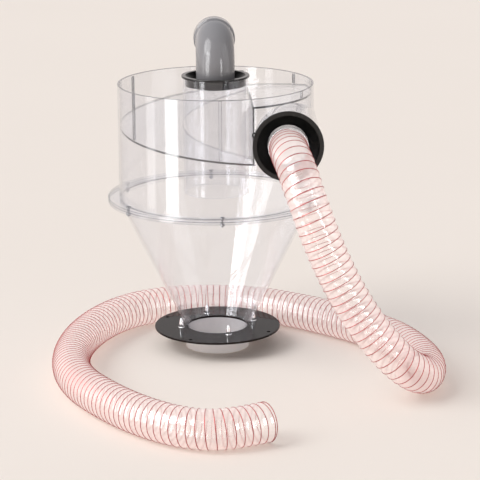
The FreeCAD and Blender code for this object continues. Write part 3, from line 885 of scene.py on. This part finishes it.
# %% Cone and outlet tube
TUBE_OUTSIDE = 0.0508
TUBE_BORE = 0.0476
BODY_OUTSIDE = 0.1524
BODY_INSIDE = 0.1494
cone_low, cone_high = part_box("cone")
cone_section = [
    (TUBE_BORE, cone_low.z),
    (TUBE_OUTSIDE, cone_low.z),
    (BODY_OUTSIDE, cone_high.z),
    (BODY_INSIDE, cone_high.z),
]
make_piece("cone_shell", turned(cone_section, SHEET_EDGE, 192), CONE_CLEAR, "clear_tube", "cone")
tube_low, tube_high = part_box("outlet_tube")
outlet = tube(TUBE_BORE, TUBE_OUTSIDE, tube_low.z, tube_high.z, SHEET_EDGE, 144)
make_piece("outlet_tube_shell", outlet, TUBE_CLEAR, "clear_tube", "outlet_tube")

# %% [markdown]
# ## Black flange
#
# The bin flange is gloss black sheet. Black gloss looks black only while it mirrors something
# dark, so its specular level is kept low here, and dust lifts its colour in patches.

# %% Flange
def black_sheet():
    finish = Finish("black_sheet")
    dust = finish.noise(160, 5.0).rise(0.5, 0.9)
    gloss = finish.plastic(
        Base_Color=finish.colours(dust, (0.012, 0.008, 0.007), (0.034, 0.027, 0.024)),
        Roughness=0.03 + dust * 0.08,
        Specular_IOR_Level=0.08,
    )
    return finish.done(gloss)


FLANGE_EDGE = 0.0005
flange = softened_copy("bin_flange", FLANGE_EDGE)
make_piece("bin_plate", flange, black_sheet(), "black_sheet", "bin_flange")

# %% [markdown]
# ## Dust outlet ring
#
# The ring under the flange is the same tube as the outlet, but scuffed until it is milky. Its
# outside is painted paler, as lit by the floor, and its inside darker, as in shade. Saw marks vary
# its colour, its gloss and its surface, and a weak painted glow, brighter on the outside, stands
# for the light that scatters in its wall.

# %% Ring
RING_EDGE = 0.0006


def frosted():
    finish = Finish("frosted_tube")
    saw = finish.noise(140, 4.0)
    # painted light: the outside is painted paler, as lit by the floor, and the inside darker, as shade
    outside = from_axis(finish).rise(0.0488, 0.0500)
    inner = finish.colours(saw, (0.70, 0.685, 0.70), (0.82, 0.80, 0.81))
    skin = finish.plastic(
        Base_Color=finish.colours(outside, inner, (0.93, 0.91, 0.90)),
        Metallic=0.2,
        # painted glow: a weak emission, brighter on the outside, though the ring is no lamp
        Emission_Color=finish.colours(outside, (0.20, 0.196, 0.20), (1.0, 0.98, 0.97)),
        Emission_Strength=0.11,
        Roughness=0.16 + saw * 0.15,
        Normal=finish.bump(saw, 0.0001),
    )
    clear = finish.see_through(0.93, 0.93, 0.94)
    return finish.done(finish.mix(finish.facing() * 0.2 + 0.78, clear, skin))


ring_low, ring_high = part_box("dust_outlet_ring")
dust_ring = tube(TUBE_BORE, TUBE_OUTSIDE, ring_low.z, ring_high.z, RING_EDGE, 144)
make_piece("dust_ring", dust_ring, frosted(), "frosted_tube", "dust_outlet_ring")

# %% [markdown]
# ## Black collars
#
# Two black mouldings reduce the four inch tubes to the pipe and to the hose. Each is a dish with
# a flat lip, a skirt that plugs the tube, a neck that grips the pipe, and a small ear on the lip.
# It is black and dull inside the dish, and its lip is a satin finish. The lip's colour is painted
# a little paler as a highlight and the dish's darker as shade in its hollow; dust patches vary
# both. The finish knows the lip by its distance from the collar's own axis.

# %% Collar finish
def black_moulding(name, middle, across):
    """Black moulding with a satin lip. across keeps the two axes that cross its own axis."""
    finish = Finish(name)
    # painted light: the lip is painted paler as a highlight, the dish darker as shade in its hollow
    lip = finish.distance(middle, across).rise(0.0462, 0.0472)
    dust = finish.noise(120, 5.0).rise(0.5, 0.9)
    texture = finish.bump(finish.noise(900, 3.0), 0.00002)
    deep = finish.plastic(
        Base_Color=finish.colours(dust, (0.002, 0.002, 0.002), (0.010, 0.008, 0.007)),
        Roughness=0.35 + dust * 0.20,
        Specular_IOR_Level=0.06,
        Normal=texture,
    )
    satin = finish.plastic(
        Base_Color=finish.colours(dust, (0.012, 0.011, 0.011), (0.032, 0.031, 0.030)),
        Roughness=0.16 + dust * 0.10,
        Specular_IOR_Level=0.4,
        Normal=texture,
    )
    return finish.done(finish.mix(lip, deep, satin))


# %% Collar shape
LIP = 0.003
COLLAR_OUTSIDE = 0.053
COLLAR_WALL = 0.0022
COLLAR_EDGE = 0.0005
DISH_RIM = 0.0457
DISH_DEPTH = 0.012
SKIRT = 0.0474
SKIRT_END = -0.016
NECK_BORE = 0.03035
NECK_END = -0.0195
EAR_HOLE = 0.0016
EAR_OUTSIDE = 0.004
EAR_EDGE = 0.0007


def collar_shape(ear_angle):
    """A dished reducer with its lip's face at z = 0, opening upwards, and a small ear."""
    section = [
        (NECK_BORE, NECK_END),
        (NECK_BORE + COLLAR_WALL, NECK_END),
        (NECK_BORE + COLLAR_WALL, -DISH_DEPTH - COLLAR_WALL),
        (SKIRT - COLLAR_WALL, -LIP - COLLAR_WALL),
        (SKIRT - COLLAR_WALL, SKIRT_END),
        (SKIRT, SKIRT_END),
        (SKIRT, -LIP),
        (COLLAR_OUTSIDE, -LIP),
        (COLLAR_OUTSIDE, 0),
        (DISH_RIM, 0),
        (NECK_BORE, -DISH_DEPTH),
    ]
    ear = tube(EAR_HOLE, EAR_OUTSIDE, -LIP, 0, EAR_EDGE, 32)
    turn = math.radians(ear_angle)
    place = (COLLAR_OUTSIDE * math.cos(turn), COLLAR_OUTSIDE * math.sin(turn), 0)
    return joined(turned(section, COLLAR_EDGE, 144), placed(ear, Matrix.Translation(place)))


# %% Outlet collar, level on top
OUTLET_EAR = 40
outlet_finish = black_moulding("black_outlet_moulding", (0, 0, 0), (1, 1, 0))
outlet_top = Matrix.Translation((0, 0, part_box("outlet_collar")[1].z))
outlet_collar = placed(collar_shape(OUTLET_EAR), outlet_top)
make_piece("outlet_reducer", outlet_collar, outlet_finish, "black_moulding", "outlet_collar")

# %% Inlet collar, facing forward
INLET_EAR = 161
LAY_FORWARD = Matrix.Rotation(math.pi / 2, 4, "X")
cuff_low, cuff_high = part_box("hose_cuff")
cuff_middle = (cuff_low + cuff_high) / 2
INLET_MIDDLE = Vector((cuff_middle.x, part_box("inlet_collar")[0].y, cuff_middle.z))
inlet_finish = black_moulding("black_inlet_moulding", INLET_MIDDLE, (1, 0, 1))
inlet_front = Matrix.Translation(INLET_MIDDLE) @ LAY_FORWARD
inlet_collar = placed(collar_shape(INLET_EAR), inlet_front)
make_piece("inlet_reducer", inlet_collar, inlet_finish, "black_moulding", "inlet_collar")

# %% [markdown]
# ## Cuff
#
# The hose ends in a short smooth sleeve, without wire, that is pushed into the inlet collar. It
# is a plain tube with well rounded ends.

# %% Cuff
CUFF_OUTSIDE = 0.03015
CUFF_BORE = 0.027
CUFF_EDGE = 0.001
cuff = tube(CUFF_BORE, CUFF_OUTSIDE, 0, cuff_high.y - cuff_low.y, CUFF_EDGE, 96)
cuff_back = Matrix.Translation((INLET_MIDDLE.x, cuff_high.y, INLET_MIDDLE.z)) @ LAY_FORWARD
make_piece("hose_sleeve", placed(cuff, cuff_back), SHEET_CLEAR, "hose_film", "hose_cuff")

# %% [markdown]
# ## Grey pipe elbow
#
# The elbow is moulded grey pipe plastic: smooth and half gloss, with faint flow marks in its
# colour. Its socket is a thicker hub that is a little paler, and where the hub starts a dark line
# is painted into its small groove as shadow. The pipe is made as two rings of edges, one for each
# wall. They are pulled up straight, then spun round the bend, and bridged at both ends, so the
# bore is really open.

# %% Elbow finish
GROOVE_AT = 0.059


def grey_pipe():
    finish = Finish("grey_pipe")
    y = finish.part(finish.place(), "Y")
    flow = finish.noise(26, 4.0)
    pipe = finish.colours(flow, (0.225, 0.222, 0.232), (0.255, 0.252, 0.262))
    shell = finish.colours(y.rise(GROOVE_AT - 0.0005, GROOVE_AT + 0.0005), pipe, (0.42, 0.40, 0.38))
    # painted shadow: a dark line in the small groove where the hub starts
    groove_shadow = 1 - abs(y - GROOVE_AT).rise(0.0006, 0.0011)
    plastic = finish.plastic(
        Base_Color=finish.colours(groove_shadow, shell, (0.02, 0.02, 0.02)),
        Roughness=0.13 + flow * 0.06,
        Normal=finish.bump(finish.noise(60, 3.0), 0.00001),
    )
    return finish.done(plastic)


# %% Bent pipe
PIPE_RADII = (0.03015, 0.02625)
PIPE_ROUND = 72
BEND_RADIUS = 0.042
BEND_START = 0.445
BEND_STEPS = 32
pipe_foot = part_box("outlet_elbow")[0].z


def only(kind, geometry):
    """The vertices or the edges among what an operator gives back."""
    return [g for g in geometry if isinstance(g, kind)]


def bent_pipe():
    """Both walls of the pipe, from its foot up and round the bend to its level mouth."""
    shape = bmesh.new()
    foot, mouth = [], []
    for radius in PIPE_RADII:
        ring = bmesh.ops.create_circle(
            shape, radius=radius, segments=PIPE_ROUND, matrix=Matrix.Translation((0, 0, pipe_foot))
        )["verts"]
        start = list(dict.fromkeys(e for v in ring for e in v.link_edges))
        top = bmesh.ops.extrude_edge_only(shape, edges=start)["geom"]
        up = (0, 0, BEND_START - pipe_foot)
        bmesh.ops.translate(shape, vec=up, verts=only(bmesh.types.BMVert, top))
        bend = bmesh.ops.spin(
            shape,
            geom=only(bmesh.types.BMEdge, top),
            cent=(0, BEND_RADIUS, BEND_START),
            axis=(-1, 0, 0),
            angle=math.pi / 2,
            steps=BEND_STEPS,
        )["geom_last"]
        foot += start
        mouth += only(bmesh.types.BMEdge, bend)
    bmesh.ops.bridge_loops(shape, edges=foot)
    bmesh.ops.bridge_loops(shape, edges=mouth)
    bmesh.ops.recalc_face_normals(shape, faces=shape.faces)
    return shape


# %% Elbow with its hub
HUB_OUTSIDE = 0.0325
HUB_LENGTH = 0.024
SOCKET_FLOOR = 0.004
HUB_BEAD = 0.017
HUB_EDGE = 0.0004
PIPE_BORE = PIPE_RADII[1]
ELBOW_TURN = math.radians(1.6)
hub_section = [
    (PIPE_BORE, 0.0),
    (0.0302, -0.002),
    (HUB_OUTSIDE, 0.0),
    (HUB_OUTSIDE, HUB_BEAD - 0.0005),
    (HUB_OUTSIDE - 0.0005, HUB_BEAD),
    (HUB_OUTSIDE, HUB_BEAD + 0.0005),
    (HUB_OUTSIDE, HUB_LENGTH),
    (NECK_BORE, HUB_LENGTH),
    (NECK_BORE, SOCKET_FLOOR),
    (PIPE_BORE, SOCKET_FLOOR),
]
pipe_mouth = Matrix.Translation((0, BEND_RADIUS, BEND_START + BEND_RADIUS))
lay_back = Matrix.Rotation(-math.pi / 2, 4, "X")
hub = placed(turned(hub_section, HUB_EDGE, 96), pipe_mouth @ lay_back)
elbow = placed(joined(bent_pipe(), hub), Matrix.Rotation(ELBOW_TURN, 4, "Z"))
make_piece("pipe_elbow", elbow, grey_pipe(), "grey_pipe", "outlet_elbow")

# %% [markdown]
# ## Screws
#
# Small bright or dark metal things tell the eye how big an object is. The joint rings are held
# by machine screws with domed heads above and hexagon nuts below. The flange is held to the cone
# by screws from below, each under a tapered cap nut. Both kinds are turned, and the nut is a
# cone with six sides and equal ends.

# %% Screw finishes
SCREW_MARKS = (900, 4.0)
DARK_STEEL = metal(
    "dark_steel", (0.20, 0.20, 0.21), (0.34, 0.34, 0.35), 1.0, 0.25, 0.12, SCREW_MARKS, 0.00004
)
BRIGHT_STEEL = metal(
    "bright_steel", (0.66, 0.66, 0.68), (0.84, 0.84, 0.85), 1.0, 0.12, 0.12, SCREW_MARKS, 0.00004
)
SCREW_EDGE = 0.0003

# %% Joint screws
SHANK = 0.0019
HEAD = 0.0038
HEAD_HEIGHT = 0.0026
DRIVE_EDGE = 0.0022
NUT_RADIUS = 0.00404
NUT_HEIGHT = 0.0032
TAIL = 0.002


def joint_screw(middle, low, high):
    """A machine screw with its head at the top and its nut near its lower end."""
    at = Matrix.Translation((middle.x, middle.y, 0))
    under_head = high - HEAD_HEIGHT
    head = [
        (0, under_head + 0.0004),
        (SHANK, under_head + 0.0004),
        (HEAD, under_head),
        (HEAD, under_head + 0.0018),
        (DRIVE_EDGE, high),
        (0, high),
    ]
    shank = [(0, low), (SHANK, low), (SHANK, high - TAIL), (0, high - TAIL)]
    nut = bmesh.new()
    bmesh.ops.create_cone(
        nut,
        cap_ends=True,
        segments=6,
        radius1=NUT_RADIUS,
        radius2=NUT_RADIUS,
        depth=NUT_HEIGHT,
        matrix=Matrix.Translation((0, 0, low + TAIL + NUT_HEIGHT / 2)),
    )
    bmesh.ops.bevel(
        nut,
        geom=nut.edges[:],
        offset=SCREW_EDGE,
        segments=2,
        profile=0.5,
        affect="EDGES",
        material=-1,
    )
    whole = joined(turned(head, SCREW_EDGE, 32), turned(shank, SCREW_EDGE, 24), nut)
    return placed(whole, at)


# %% Bin screws
BIN_HEAD_HEIGHT = 0.0022
BIN_FLANGE = 0.003


def bin_screw(middle, low, high):
    """A screw from below with a tapered cap nut on top."""
    through = low + BIN_HEAD_HEIGHT + BIN_FLANGE
    section = [
        (0, low),
        (0.0034, low),
        (0.004, low + 0.0006),
        (0.004, low + BIN_HEAD_HEIGHT),
        (0.002, low + BIN_HEAD_HEIGHT),
        (0.002, through),
        (0.0052, through),
        (0.0052, through + 0.0014),
        (0.0039, through + 0.0014),
        (0.0039, through + 0.0061),
        (0.00295, through + 0.0112),
        (0.00125, high),
        (0, high),
    ]
    return placed(turned(section, SCREW_EDGE, 48), Matrix.Translation((middle.x, middle.y, 0)))


# %% All the screws
SCREWS = {
    "joint_screw": (joint_screw, DARK_STEEL, "dark_steel"),
    "bin_screw": (bin_screw, BRIGHT_STEEL, "bright_steel"),
}
for node in sorted(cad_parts):
    kind = node.rpartition("_")[0]
    if kind in SCREWS:
        make_screw, finish, slot = SCREWS[kind]
        low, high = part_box(node)
        screw = make_screw((low + high) / 2, low.z, high.z)
        make_piece("shown_" + node, screw, finish, slot, node)
